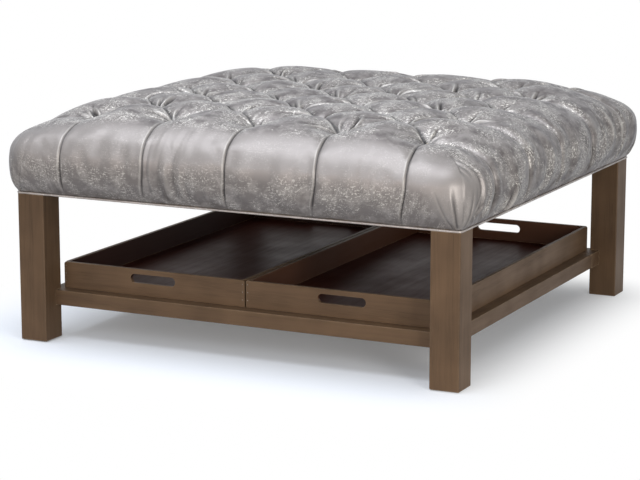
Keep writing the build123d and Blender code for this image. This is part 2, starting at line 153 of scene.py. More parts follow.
soft_box("overhead", (-0.4, -0.75, 2.5), (0.0, -0.3, 0.45), (2.4, 2.0), 58.0, "#F2F7FF")
soft_box("key_front", (-0.9, -3.9, 2.3), (0.0, -0.2, 0.35), (1.8, 1.6), 24.0, "#EEF5FF")
soft_box("low_front", (-0.4, -4.2, 0.75), (0.0, 0.0, 0.3), (3.0, 1.3), 26.0, "#FFEBDC")
soft_box("fill_right", (2.4, -2.1, 0.65), (0.3, -0.1, 0.3), (0.8, 1.2), 37.0, "#FFFAF4")

# %% Floor
def mesh_object(name, points, faces):
    """A smooth-shaded mesh object from its points, in metres, and its faces."""
    mesh = bpy.data.meshes.new(name)
    mesh.from_pydata([tuple(p) for p in points], [], [tuple(f) for f in faces])
    mesh.update()
    mesh.polygons.foreach_set("use_smooth", [True] * len(mesh.polygons))
    piece = bpy.data.objects.new(name, mesh)
    scene.collection.objects.link(piece)
    return piece


FLOOR_HALF = 9.0
floor_turns = ((-1, -1), (1, -1), (1, 1), (-1, 1))
floor = mesh_object("floor", [(x * FLOOR_HALF, y * FLOOR_HALF, 0) for x, y in floor_turns], [(0, 1, 2, 3)])
print("floor is", 2 * FLOOR_HALF, "m square")

# %% [markdown]
# ## The paper of the sweep
#
# The paper has two tones. Light that bounces off it finds a middle grey, or it would fill the shade
# under the bulge. An eye or a mirror sees it nearly white. Far from the table it is plain white, and
# only under the table and close round it does the shadow show, as on a picture for a catalogue. The
# distance to a square round the table says where one turns into the other.

# %% Paper
SHADE_MIDDLE = (0.09, 0.05, 0.0)
SHADE_HALF = (0.47, 0.47, 0.0)
FADE_FROM, FADE_TO = 0.02, 0.28
SHADOW_LIFT = 0.17
paper, tree = new_material("white_paper_sweep")
seen = looked_at(tree)
tone = add(tree, "MixRGB", {1: "#808080", 2: "#E9EEF5"}, {0: seen})
matt = add(tree, "BsdfPrincipled", {"Roughness": 0.9, "Specular IOR Level": 0.1}, {"Base Color": tone})
spot = add(tree, "TexCoord")
off_centre = add(tree, "VectorMath", {"operation": "ADD", 1: SHADE_MIDDLE}, {0: spot.outputs["Object"]})
off_centre = add(tree, "VectorMath", {"operation": "ABSOLUTE"}, {0: off_centre})
beside = add(tree, "VectorMath", {"operation": "SUBTRACT", 1: SHADE_HALF}, {0: off_centre})
beside = add(tree, "VectorMath", {"operation": "MAXIMUM", 1: (0.0, 0.0, 0.0)}, {0: beside})
beside = add(tree, "VectorMath", {"operation": "LENGTH"}, {0: beside})
far = add(tree, "MapRange", {"interpolation_type": "SMOOTHSTEP", 1: FADE_FROM, 2: FADE_TO},
          {0: beside.outputs["Value"]})
plain = add(tree, "Math", {"operation": "MULTIPLY"}, {0: far, 1: seen})
glow = add(tree, "Emission", {"Color": "#FFFFFF", "Strength": 1.0})
raised = add(tree, "Math", {"operation": "MULTIPLY", 1: SHADOW_LIFT}, {0: seen})
lift = add(tree, "Emission", {"Color": "#FFFFFF"}, {"Strength": raised})
lit = add(tree, "AddShader", {}, {0: matt, 1: lift})
sweep = add(tree, "MixShader", {}, {0: plain, 1: lit, 2: glow})
add(tree, "OutputMaterial", {}, {"Surface": sweep})
floor.data.materials.append(paper)
print("paper nodes:", len(tree.nodes))

# %% [markdown]
# ## The stained hardwood
#
# The legs, shelf and trays are a plain hardwood such as alder, with a warm grey-brown stain rubbed
# in and a satin lacquer over it. The stain gathers in the pores, so the grain shows as fine darker
# strokes along each board. Along each arris a paler line is painted: partly the stain worn thin,
# partly a painted highlight where the eased edge catches the light. The strokes are noise stretched
# along the board, and the pale line comes from the difference between the true normal and one
# rounded over the edge. The trays' walls are painted darker inside, as painted shade for the shadow
# in the trays, and their floors have a dark red-brown lacquer.

# %% Stained wood
MM = 0.001
# A pore stroke is about 0.5 mm wide and 15 mm long; it is drawn coarser so that it shows.
PORE_WIDE, PORE_LONG = 1.6, 45
# Growth rings show as bands some 14 mm apart that wander along the board.
RING_APART, RING_LONG = 14, 320


def stained_wood(name, along, colour="#6E5741", dark="#3A2C20", pale="#B29C80", roughness=0.47,
                 edge_mm=2.8, inside=None, level=0.25, tint="#FFFFFF"):
    """Stained hardwood with its grain along one axis of the table: 0, 1 or 2. A tray's walls are
    painted darker inside, where they look towards the tray's middle: painted shade. Level and tint
    are the strength and colour of what its lacquer mirrors."""
    material, tree = new_material(name)
    place = add(tree, "TexCoord")
    at = place.outputs["Object"]
    stroke = [1 / (PORE_WIDE * MM)] * 3
    stroke[along] = 1 / (PORE_LONG * MM)
    pores_at = add(tree, "Mapping", {"Scale": stroke}, {"Vector": at})
    pores = add(tree, "TexNoise", {"Scale": 1.0, "Detail": 3.0, "Roughness": 0.6}, {"Vector": pores_at})
    ring = [1 / (RING_APART * MM)] * 3
    ring[along] = 1 / (RING_LONG * MM)
    rings_at = add(tree, "Mapping", {"Scale": ring}, {"Vector": at})
    rings = add(tree, "TexNoise", {"Scale": 1.0, "Detail": 4.0, "Roughness": 0.5, "Distortion": 0.6},
                {"Vector": rings_at})
    # The stain takes unevenly over patches of about a hand's width.
    patch = add(tree, "TexNoise", {"Scale": 9.0, "Detail": 2.0}, {"Vector": at})
    pore_shade = add(tree, "MapRange", {1: 0.35, 2: 0.7, 3: 0.1, 4: 0.6}, {0: pores})
    ring_shade = add(tree, "MapRange", {1: 0.35, 2: 0.68, 3: 0.0, 4: 0.6}, {0: rings})
    patch_shade = add(tree, "MapRange", {1: 0.3, 2: 0.7, 3: 0.0, 4: 0.4}, {0: patch})
    shade = add(tree, "Math", {"operation": "MULTIPLY"}, {0: pore_shade, 1: ring_shade})
    shade = add(tree, "Math", {"operation": "MULTIPLY_ADD", 1: 1.2}, {0: shade, 2: patch_shade})
    stain_and_inner_shade = add(tree, "MixRGB", {1: colour, 2: dark}, {0: shade})
    if inside:
        middle, inner_painted_shade = inside
        # The faces that look towards the tray's middle get the darker inner colour: painted shade.
        to_middle = add(tree, "VectorMath", {"operation": "SUBTRACT", 0: middle}, {1: at})
        inward = add(tree, "VectorMath", {"operation": "DOT_PRODUCT"},
                     {0: to_middle, 1: place.outputs["Normal"]})
        inward = add(tree, "MapRange", {1: 0.03, 2: 0.06}, {0: inward.outputs["Value"]})
        stain_and_inner_shade = add(tree, "MixRGB", {2: inner_painted_shade}, {0: inward, 1: stain_and_inner_shade})
    # Where the rounded normal leaves the true one there is an edge, and a paler line is painted on it:
    # partly the stain worn thin, partly a painted highlight where the eased edge catches the light.
    rounded = add(tree, "Bevel", {"samples": 4, "Radius": edge_mm * MM})
    true = add(tree, "NewGeometry")
    same = add(tree, "VectorMath", {"operation": "DOT_PRODUCT"}, {0: rounded, 1: true.outputs["Normal"]})
    arris_wear_and_highlight = add(tree, "MapRange", {1: 0.99, 2: 0.82, 3: 0.0, 4: 0.95}, {0: same.outputs["Value"]})
    broken = add(tree, "TexNoise", {"Scale": 55.0, "Detail": 3.0}, {"Vector": at})
    broken = add(tree, "MapRange", {1: 0.36, 2: 0.6, 3: 0.25, 4: 1.0}, {0: broken})
    arris_wear_and_highlight = add(tree, "Math", {"operation": "MULTIPLY"}, {0: arris_wear_and_highlight, 1: broken})
    with_pale_arris = add(tree, "MixRGB", {2: pale}, {0: arris_wear_and_highlight, 1: stain_and_inner_shade})
    rough = add(tree, "MapRange", {1: 0.0, 2: 0.6, 3: roughness, 4: roughness + 0.14}, {0: shade})
    relief = add(tree, "Bump", {"Strength": 0.25, "Distance": 0.0002}, {"Height": pores})
    lacquer = add(tree, "BsdfPrincipled", {"IOR": 1.5, "Specular IOR Level": level, "Specular Tint": tint},
                  {"Base Color": with_pale_arris, "Roughness": rough, "Normal": relief})
    add(tree, "OutputMaterial", {}, {"Surface": lacquer})
    return material


print("pore strokes are drawn", PORE_WIDE, "by", PORE_LONG, "mm")

# %% Wooden pieces
def give(material, *names):
    """Gives CAD nodes a material."""
    for name in names:
        mesh = nodes[name].data
        mesh.materials.clear()
        mesh.materials.append(material)


give(stained_wood("stained_alder_upright", 2),
     "leg_front_left", "leg_front_right", "leg_back_left", "leg_back_right")
give(stained_wood("stained_alder_across", 0), "shelf_rail_front", "shelf_rail_back", "shelf_panel")
give(stained_wood("stained_alder_deep", 1), "shelf_rail_left", "shelf_rail_right")
# The darker inner colours are painted shade, for the shadow inside each tray.
for side, inner_painted_shade in (("left_tray", "#2E1710"), ("right_tray", "#503222")):
    low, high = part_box(side + "_bottom")
    inside = (((low[0] + high[0]) / 2, (low[1] + high[1]) / 2, low[2]), inner_painted_shade)
    ends = stained_wood("stained_alder_" + side + "_ends", 0, edge_mm=1.6, inside=inside)
    sides = stained_wood("stained_alder_" + side + "_sides", 1, edge_mm=1.6, inside=inside)
    give(ends, side + "_front_wall", side + "_back_wall")
    give(sides, side + "_left_wall", side + "_right_wall")
give(stained_wood("dark_lacquered_ply", 1, "#4C241A", "#3A1811", roughness=0.34, level=0.05, tint="#7A3F2C"),
     "left_tray_bottom", "right_tray_bottom")
print("woods:", [m.name for m in bpy.data.materials if "alder" in m.name or "ply" in m.name])

# %% [markdown]
# ## Pieces inside and underneath
#
# These hardly show, but the table can be seen from below. The deck frame is bare softwood, the deck
# is plywood, the fastenings are zinc-plated steel and the tufts are tied with waxed linen twine over
# fibre washers.

# %% Plain materials for the inner pieces
def plain_finish(name, colour, other, grain_mm, roughness, metallic=0.0, stretch=(1, 1, 1), bump_mm=0.1):
    """A finish with one noise: two colours, a roughness and a slight relief."""
    material, tree = new_material(name)
    place = add(tree, "TexCoord")
    scale = [1 / (grain_mm * MM * s) for s in stretch]
    where = add(tree, "Mapping", {"Scale": scale}, {"Vector": place.outputs["Object"]})
    noise = add(tree, "TexNoise", {"Scale": 1.0, "Detail": 4.0}, {"Vector": where})
    part = add(tree, "MapRange", {1: 0.35, 2: 0.65}, {0: noise})
    colours = add(tree, "MixRGB", {1: colour, 2: other}, {0: part})
    relief = add(tree, "Bump", {"Strength": 0.4, "Distance": bump_mm * MM}, {"Height": noise})
    surface = add(tree, "BsdfPrincipled", {"Roughness": roughness, "Metallic": metallic},
                  {"Base Color": colours, "Normal": relief})
    add(tree, "OutputMaterial", {}, {"Surface": surface})
    return material


give(plain_finish("planed_pine_across", "#D8BE92", "#B8935F", 3, 0.6, stretch=(40, 1, 1)),
     "deck_rail_front", "deck_rail_back", "corner_blocks")
give(plain_finish("planed_pine_deep", "#D8BE92", "#B8935F", 3, 0.6, stretch=(1, 40, 1)),
     "deck_rail_left", "deck_rail_right", "deck_cross_rail_left", "deck_cross_rail_right")
give(plain_finish("birch_plywood", "#D2B78C", "#BA9A6A", 6, 0.55, stretch=(25, 1, 1)), "deck_board")
give(plain_finish("beech_dowel", "#C9A577", "#B08A5C", 1, 0.55), "shelf_rail_dowels", "shelf_leg_dowels")
give(plain_finish("zinc_plated_steel", "#A9ABAB", "#8C8E8E", 2, 0.38, metallic=1.0),
     "left_tray_brads", "right_tray_brads", "corner_block_screws", "deck_board_screws",
     "shelf_panel_screws", "leg_bolts", "leg_bolt_washers", "leg_bolt_nuts", "dust_cover_staples")
give(plain_finish("dull_nickel", "#B4AFA6", "#8F8A82", 2, 0.3, metallic=1.0), "leg_glides")
give(plain_finish("polyurethane_foam", "#E9DFB4", "#D9CB97", 1.5, 0.95, bump_mm=0.4), "seat_foam")
give(plain_finish("waxed_linen_twine", "#D6CCB4", "#B5A88A", 0.5, 0.7), "tuft_twines")
give(plain_finish("pressed_fibreboard", "#8E7050", "#755A3E", 1.5, 0.9), "tuft_washers")
print("nodes with a finish:", sum(1 for n in nodes.values() if n.data.materials))

# %% [markdown]
# ## The tufted top: its edge profile
#
# The top is a fabric skin pulled over foam. Seen from the side its edge rises from the welt, swells
# out past the legs, turns over a tight shoulder and runs in a shallow crown to the nearly level
# middle. The profile is four tangent pieces, and each point on the skin is found by how far along the
# profile it lies. Seen from above the welt has tight corners, and the bulge has full round ones that
# close a little towards the middle of the top.

# %% Profile sizes, in millimetres
HALF_FRAME = 508.0
DECK = 320.0
WELT = 5.0
BULGE_REACH, BULGE_HEIGHT = 39.0, 90.0
SHOULDER_RADIUS, SHOULDER_TURN = 60.0, math.radians(60)
CROWN_RADIUS, CROWN_TURN = 375.0, math.radians(28)
RISE = BULGE_HEIGHT - WELT
SIDE_RADIUS = (BULGE_REACH ** 2 + RISE ** 2) / (2 * BULGE_REACH)
SIDE_TURN = math.asin(RISE / SIDE_RADIUS)
CROWN_X = BULGE_REACH - SHOULDER_RADIUS - (CROWN_RADIUS - SHOULDER_RADIUS) * math.cos(SHOULDER_TURN)
CROWN_Z = BULGE_HEIGHT - (CROWN_RADIUS - SHOULDER_RADIUS) * math.sin(SHOULDER_TURN)
FULL_TURN = SHOULDER_TURN + CROWN_TURN
FLAT = HALF_FRAME + CROWN_X + CROWN_RADIUS * math.cos(FULL_TURN)
FLAT_HEIGHT = CROWN_Z + CROWN_RADIUS * math.sin(FULL_TURN)
LENGTHS = [FLAT, CROWN_RADIUS * CROWN_TURN, SHOULDER_RADIUS * SHOULDER_TURN, SIDE_RADIUS * SIDE_TURN]
SHOULDER_START = sum(LENGTHS[:2])
SIDE_START = sum(LENGTHS[:3])
SKIN = sum(LENGTHS)
HALF_BULGE = HALF_FRAME + BULGE_REACH
WELT_CORNER, BULGE_CORNER = 8.0, 98.0
CORNER_SHRINK = 0.25
print("half width of the skin along its profile:", round(SKIN, 1), "mm")


# %% The profile as a function
def profile(t):
    """Half width, height and outward slope (its sideways and upward parts) at t mm from the middle."""
    crown = np.clip(t - FLAT, 0, LENGTHS[1]) / CROWN_RADIUS
    shoulder = np.clip(t - SHOULDER_START, 0, LENGTHS[2]) / SHOULDER_RADIUS
    side = np.clip(t - SIDE_START, 0, LENGTHS[3]) / SIDE_RADIUS
    turn = FULL_TURN - crown - shoulder - side
    on_crown, on_shoulder, on_side = t > FLAT, t > SHOULDER_START, t > SIDE_START
    half = np.where(on_crown, HALF_FRAME + CROWN_X + CROWN_RADIUS * np.cos(turn), t)
    height = np.where(on_crown, CROWN_Z + CROWN_RADIUS * np.sin(turn), FLAT_HEIGHT)
    half = np.where(on_shoulder, HALF_BULGE - SHOULDER_RADIUS * (1 - np.cos(turn)), half)
    height = np.where(on_shoulder, BULGE_HEIGHT + SHOULDER_RADIUS * np.sin(turn), height)
    half = np.where(on_side, HALF_BULGE - SIDE_RADIUS * (1 - np.cos(turn)), half)
    height = np.where(on_side, BULGE_HEIGHT + SIDE_RADIUS * np.sin(turn), height)
    turn = np.where(on_crown, turn, math.pi / 2)
    return half, height, np.cos(turn), np.sin(turn)


def plan_radius(t):
    """Radius of the skin's corners seen from above, at t mm from the middle."""
    half, height = profile(t)[:2]
    rise = np.sin(np.clip((height - WELT) / RISE, 0, 1) * math.pi / 2)
    low = WELT_CORNER + (BULGE_CORNER - WELT_CORNER) * rise
    high = BULGE_CORNER - CORNER_SHRINK * (HALF_BULGE - half)
    flat = (BULGE_CORNER - CORNER_SHRINK * (HALF_BULGE - FLAT)) * (t / FLAT) ** 2
    return np.where(t > SIDE_START, low, np.where(t > FLAT, high, flat))


print("profile at the bulge:", [round(float(v), 1) for v in profile(np.array(SIDE_START))])

# %% [markdown]
# ## Places of the tufts and pleats
#
# Twenty-five tufts stand in a square grid and sixteen more in its gaps, so the folds between them
# run on the diagonals and every puff is a diamond. From each outer tuft one pleat runs over the edge
# to the welt. A pleat is tied at the tuft and at the welt, but where the side swells widest it may
# swing aside by some millimetres, each by its own amount.

# %% Lines of the tufts, folds and pleats
PITCH = 193.0
REACH = 2
OUTER = REACH * PITCH
ROWS, GAPS = range(-REACH, REACH + 1), range(-REACH, REACH)
tufts = [(i * PITCH, j * PITCH) for i in ROWS for j in ROWS]
tufts += [((i + 0.5) * PITCH, (j + 0.5) * PITCH) for i in GAPS for j in GAPS]
tufts = np.array(tufts)
folds = [(tufts[m], tufts[n]) for m in range(len(tufts)) for n in range(m + 1, len(tufts))
         if abs(np.linalg.norm(tufts[m] - tufts[n]) - PITCH / math.sqrt(2)) < 1]
# The swings of the five pleats, from left to right and from front to back.
FRONT_SWINGS = (8, 14, 11, 21, 20)
SIDE_SWINGS = (-22, -30, -32, -30, -12)


def smooth(value, low, high):
    """0 below low, 1 above high and an even S between."""
    x = np.clip((value - low) / (high - low), 0, 1)
    return x * x * (3 - 2 * x)


def pleat_place(i, t, sideways):
    """Where pleat i crosses the ring at t, along the front or back, or along a side where sideways."""
    swing = np.where(sideways, SIDE_SWINGS[i + REACH], FRONT_SWINGS[i + REACH])
    return i * PITCH + swing * smooth(t, OUTER, SIDE_START) * (1 - smooth(t, SIDE_START, SKIN))


print("tufts:", len(tufts), "folds:", len(folds))

# %% [markdown]
# ## Laying a net over the top
#
# The skin starts as a square net. A cell's distance from the middle, taken as the larger of its two
# coordinates, says how far along the profile it lies, and the other coordinate says how far along
# that ring. Down the sides the net's lines follow the pleats and lie closer beside them, so a
# crease can be sharp. Tufts and folds are drawn in plan, as the upholsterer marks them.

# %% The net
PLAIN_STEP, FINE_STEP = 2.1, 1.4
FINE_REACH = 9
# Between these distances from the middle the net's lines bend over to the pleats.
FOLLOW_FROM, FOLLOW_TO = OUTER + 44, OUTER + 134
TINY = 1e-9


def net_steps():
    """Distances of the net's lines from the middle, closer near the pleats."""
    found = [0.0]
    while found[-1] < SKIN:
        beside_pleat = min(abs(found[-1] - i * PITCH) for i in range(REACH + 1)) < FINE_REACH
        found.append(found[-1] + (FINE_STEP if beside_pleat else PLAIN_STEP))
    half = np.array(found) * SKIN / found[-1]
    return np.concatenate([-half[:0:-1], half])


steps = net_steps()
count = len(steps)
net_a, net_b = (g.ravel() for g in np.meshgrid(steps, steps, indexing="xy"))


def along_ring(b, t, full_run, sideways):
    """How far along its ring a net point lies. On the sides the net's lines follow the pleats."""
    even = b / np.maximum(t, TINY) * full_run
    lines = [-t] + [i * PITCH for i in ROWS] + [t]
    crossings = [-full_run] + [pleat_place(i, t, sideways) for i in ROWS] + [full_run]
    followed = np.zeros(len(b))
    for k in range(len(lines) - 1):
        share = (b - lines[k]) / np.maximum(lines[k + 1] - lines[k], TINY)
        here = (share >= 0) & (share <= 1)
        followed = np.where(here, crossings[k] + share * (crossings[k + 1] - crossings[k]), followed)
    return even + (followed - even) * smooth(t, FOLLOW_FROM, FOLLOW_TO)


def on_skin(a, b):
    """Place and outward direction on the smooth skin of net points, in millimetres."""
    t = np.maximum(np.abs(a), np.abs(b))
    half, height, out, up = profile(t)
    radius = plan_radius(t)
    sideways = np.abs(a) >= np.abs(b)
    straight = half - radius
    run = along_ring(np.where(sideways, b, a), t, straight + radius * math.pi / 4, sideways)
    bend = np.clip((np.abs(run) - straight) / np.maximum(radius, TINY), 0, math.pi / 4)
    bend = np.where(np.abs(run) > straight, bend, 0)
    along = np.sign(run) * (np.minimum(np.abs(run), straight) + radius * np.sin(bend))
    away = straight + radius * np.cos(bend)
    side = np.sign(np.where(sideways, a, b))
    out_along = np.sign(run) * np.sin(bend)
    out_away = np.cos(bend)
    x = np.where(sideways, side * away, along)
    y = np.where(sideways, along, side * away)
    normal = np.stack([np.where(sideways, side * out_away, out_along) * out,
                       np.where(sideways, out_along, side * out_away) * out, up], axis=1)
    return np.stack([x, y, DECK + height], axis=1), normal


skin, outward = on_skin(net_a, net_b)
print("net lines:", count, "lowest and highest:", skin.min(0).round(1), skin.max(0).round(1))

# %% [markdown]
# ## Tufts and folds
#
# A tuft's twine pulls the cloth down by four centimetres. From it four folds run to its neighbours:
# deep beside the tufts and shallow half way. Across a fold the cloth rises steeply and then levels
# out, like a quarter of an ellipse, and has a sharp crease at the bottom where it is lapped. The
# valleys of several folds are joined smoothly, so the puffs stay round where they meet a tuft.

# %% Helpers for lines, valleys and soft noise
NOISE_CELLS = 97


def to_line(a, b, start, end):
    """Distance from points to a line between two points, and the share along it."""
    run = end - start
    share = np.clip(((a - start[0]) * run[0] + (b - start[1]) * run[1]) / (run @ run), 0, 1)
    return np.hypot(a - start[0] - share * run[0], b - start[1] - share * run[1]), share


def valley(distance, depth, width):
    """A valley between two swelling sides, with its steepest slope at the bottom."""
    x = np.clip(distance / width, 0, 1)
    return depth * (1 - np.sqrt(np.clip(2 * x - x * x, 0, 1)))


def waves(a, b, size_a, size_b, seed):
    """Even soft noise between -1 and 1, with its own size each way, the same on every run."""
    table = np.random.RandomState(seed).uniform(-1, 1, (NOISE_CELLS, NOISE_CELLS))
    # The noise is shifted, so that no cell of it begins at the middle of the table.
    u, v = a / size_a + 40.37, b / size_b + 40.71
    i, j = np.floor(u).astype(int), np.floor(v).astype(int)
    fu, fv = smooth(u - i, 0, 1), smooth(v - j, 0, 1)
    i, next_i = i % NOISE_CELLS, (i + 1) % NOISE_CELLS
    j, next_j = j % NOISE_CELLS, (j + 1) % NOISE_CELLS
    low = table[i, j] * (1 - fu) + table[next_i, j] * fu
    high = table[i, next_j] * (1 - fu) + table[next_i, next_j] * fu
    return low * (1 - fv) + high * fv


print("a valley at its bottom, half way out and at its rim:", valley(np.array([0, 20, 40]), 10, 40).round(1))

# %% Folds between the tufts
TUFT_VALLEY, MIDDLE_VALLEY = 22.0, 10.0
FOLD_WIDE, FOLD_NARROW = 64, 40
CREASE_SOFT, SHADE_SOFT = 3.5, 4.0
LIP_AWAY, LIP_SOFT = 9, 4
JOIN = 3
plan_x, plan_y = skin[:, 0], skin[:, 1]
down = np.maximum(np.abs(net_a), np.abs(net_b))
on_sides = np.abs(net_a) >= np.abs(net_b)
across = np.where(on_sides, plan_y, plan_x)
joined, crease, dark, lip = (np.zeros(len(skin)) for _ in range(4))
for start, end in folds:
    distance, share = to_line(plan_x, plan_y, start, end)
    near_tuft = np.abs(2 * share - 1)
    fold_deep = MIDDLE_VALLEY + (TUFT_VALLEY - MIDDLE_VALLEY) * near_tuft ** 2.2
    joined += valley(distance, fold_deep, FOLD_WIDE - (FOLD_WIDE - FOLD_NARROW) * near_tuft) ** JOIN
    crease = np.maximum(crease, np.exp(-distance / CREASE_SOFT) * (0.35 + 0.65 * near_tuft ** 1.5))
    # Painted shade along the bottom of the fold.
    dark = np.maximum(dark, np.exp(-distance / SHADE_SOFT) * (0.5 + 0.5 * near_tuft))
    # The cloth of the nearer puff laps over the fold with a low rolled lip, which also gets a painted
    # highlight.
    middle = start + (end - start) * share[:, None]
    nearer = (plan_y < middle[:, 1]) & (share > 0.02) & (share < 0.98)
    lip = np.maximum(lip, nearer * np.exp(-((distance - LIP_AWAY) / LIP_SOFT) ** 2) * (0.4 + 0.6 * near_tuft))
print("points in a fold's crease:", int((crease > 0.5).sum()))

# %% [markdown]
# ## Pleats
#
# A pleat is a wide valley beside its tuft, then a narrow one down the side that closes at the welt.
# The cloth was pulled hardest on the right and at the front, so the pleats are deepest there. On the
# right it was also pulled forwards: the near bank of a pleat is long and the far one steep.

# %% Pleats over the edge
def by_side(right, left, front, back):
    """A value for each of the four sides, at each point of the net."""
    return np.where(on_sides, np.where(net_a > 0, right, left), np.where(net_b < 0, front, back))


PLEAT_DEEP, PLEAT_WIDE = 9, 42
pull = by_side(1.6, 0.6, 1.0, 0.35)
low_deep = by_side(11.0, 6.0, 2.2, 2.2)
low_wide = by_side(34, 34, 12, 12)
line_wide = by_side(1.9, 1.2, 1.2, 1.2)
lip_strength = by_side(1.0, 1.0, 0.45, 0.45)
beyond = down - OUTER
over_edge = smooth(beyond, 20, SIDE_START - 20 - OUTER)
pleat_deep = TUFT_VALLEY * (1 - smooth(beyond, 0, 70))
pleat_deep += pull * (PLEAT_DEEP * smooth(beyond, 0, 70) * (1 - over_edge)) + low_deep * over_edge
pleat_wide = PLEAT_WIDE * (1 - over_edge) + low_wide * over_edge
closing = 1 - smooth(down, SKIN - 50, SKIN - 4)
side_crease = np.zeros(len(skin))
on_right = on_sides & (net_a > 0)
for i in ROWS:
    offset = across - pleat_place(i, down, on_sides)
    distance = np.hypot(offset, np.minimum(beyond, 0))
    bank = np.where(on_right, np.where(offset < 0, 1.7, 0.55), 1.0)
    joined += np.where(beyond > -60, valley(distance, pleat_deep * closing, pleat_wide * bank), 0) ** JOIN
    # The crease is lapped: steep on one side and easy on the other.
    lap = np.where(offset > 0, 1.4, 2.6)
    side_crease = np.maximum(side_crease, np.exp(-distance / lap) * (beyond > -20))
    # Painted shade along each pleat's crease, and below it a painted highlight on its rolled lip.
    dark = np.maximum(dark, 0.85 * np.exp(-distance / line_wide) * (beyond > -10) * (0.4 + 0.6 * closing))
    rolled = lip_strength * (beyond > 5) * closing
    lip = np.maximum(lip, rolled * np.exp(-((offset + 4.5) / 2.0) ** 2))
hollows = joined ** (1 / JOIN)
print("points in a pleat's crease:", int((side_crease > 0.5).sum()))

# %% [markdown]
# ## Funnels and slack corners
#
# Round each tuft the stuffing gives way in a wide funnel with a dimple in it, most of all along the
# front and right edges, where people sit down. The corners are stuffed a little slacker and lie
# lower, most of all in front, and the wadding has sunk a little over the whole seat.

# %% Funnels, corners and the sunk seat
FUNNEL_DEEP, FUNNEL_WIDE = 27, 105
DIMPLE_DEEP, DIMPLE_WIDE, DIMPLE_SHADE = 6, 22, 9
SLACK_X, SLACK_Y = 465, 450
SEAT_SUNK = 3.0
for tuft in tufts:
    distance = np.hypot(plan_x - tuft[0], plan_y - tuft[1])
    at_front, at_back = tuft[1] < 1 - OUTER, tuft[1] > OUTER - 1
    give_way = 1.0 if at_front else 0.25 if at_back else 0.85 if tuft[0] > OUTER - 1 else 0.6
    hollows += FUNNEL_DEEP * give_way * np.clip(1 - distance / FUNNEL_WIDE, 0, 1) ** 1.5
    hollows += DIMPLE_DEEP * np.clip(1 - distance / DIMPLE_WIDE, 0, 1) ** 1.5
    # Painted shade round each tuft.
    dark = np.maximum(dark, np.exp(-distance / DIMPLE_SHADE))
from_slack = np.hypot(np.abs(plan_x) - SLACK_X, np.abs(plan_y) - SLACK_Y)
lower = np.where(plan_y < 0, np.where(plan_x < 0, 13, 11), np.where(plan_x < 0, 3, 8))
on_edge = smooth(beyond, -60, 60)
above_welt = 1 - smooth(beyond, 150, 230)
hollows += lower * (1 - smooth(from_slack, 30, 190)) * on_edge * above_welt
hollows += SEAT_SUNK * (1 - smooth(beyond, 0, 90))
print("deepest:", round(float(hollows.max()), 1), "mm")

# %% [markdown]
# ## Wrinkles
#
# Satin is stiff for its weight, so it doesn't stretch into the tufts but gathers there: each tuft
# has a star of small lapped creases, no two alike. On the sides the cloth is pulled down to the welt
# and shows upright drag lines, strongest on the right. At each corner a few tucks fan up from the
# welt, where the spare cloth is put away. The bottoms of the creases and their lips are kept as two
# sets of values on the mesh, so the cloth can be painted darker in the one, as shade, and paler on
# the other, as highlight. The drag lines get painted dark and pale streaks of the same kind.

# %% Gathers round the tufts
RIDGE_AWAY, RIDGE_WIDE, RIDGE_HIGH = 2.6, 1.3, 0.45


def lapped(distance, wide):
    """A crease with a sharp bottom, and a low ridge on one side where the cloth laps."""
    ridge = np.exp(-((distance - RIDGE_AWAY * wide) / (RIDGE_WIDE * wide)) ** 2)
    return np.exp(-np.abs(distance) / wide) - RIDGE_HIGH * ridge


GATHERS, STAR_REACH = 9, 95
FULL_SHADE = 6.5
rng = np.random.RandomState(11)
gathers = np.zeros(len(skin))
for tuft in tufts:
    dx, dy = plan_x - tuft[0], plan_y - tuft[1]
    near = np.hypot(dx, dy) < STAR_REACH
    radius, angle = np.hypot(dx[near], dy[near]), np.arctan2(dy[near], dx[near])
    star = np.zeros(near.sum())
    for k in range(GATHERS):
        at = (k + rng.uniform(-0.48, 0.48)) * 2 * math.pi / GATHERS
        curve = rng.uniform(-0.6, 0.6)
        length = rng.uniform(25, 98)
        gather_deep = rng.uniform(3.0, 10.0)
        lap_side = rng.choice([-1, 1])
        turned = np.angle(np.exp(1j * (angle - at - curve * radius / 60)))
        fade = (1 - smooth(radius, length * 0.3, length)) * smooth(radius, 3, 12) * (np.abs(turned) < 1)
        aside = lap_side * turned * radius
        wide = 1.7 + 0.03 * radius
        star += gather_deep * lapped(aside, wide) * fade
        strength = fade * min(gather_deep / FULL_SHADE, 1)
        lip_ridge_and_sheen = 0.8 * np.exp(-((aside - RIDGE_AWAY * wide) / (1.2 * wide)) ** 2) * strength
        # Painted shade in each crease, and a painted highlight on its lip.
        dark[near] = np.maximum(dark[near], np.exp(-np.abs(aside) / (0.8 * wide)) * strength)
        lip[near] = np.maximum(lip[near], lip_ridge_and_sheen)
    gathers[near] += star
print("gathers to", round(float(gathers.max()), 1), "mm")

# %% Drag lines down the sides
RIGHT, LEFT, BACK, FRONT = 1, 2, 3, 4
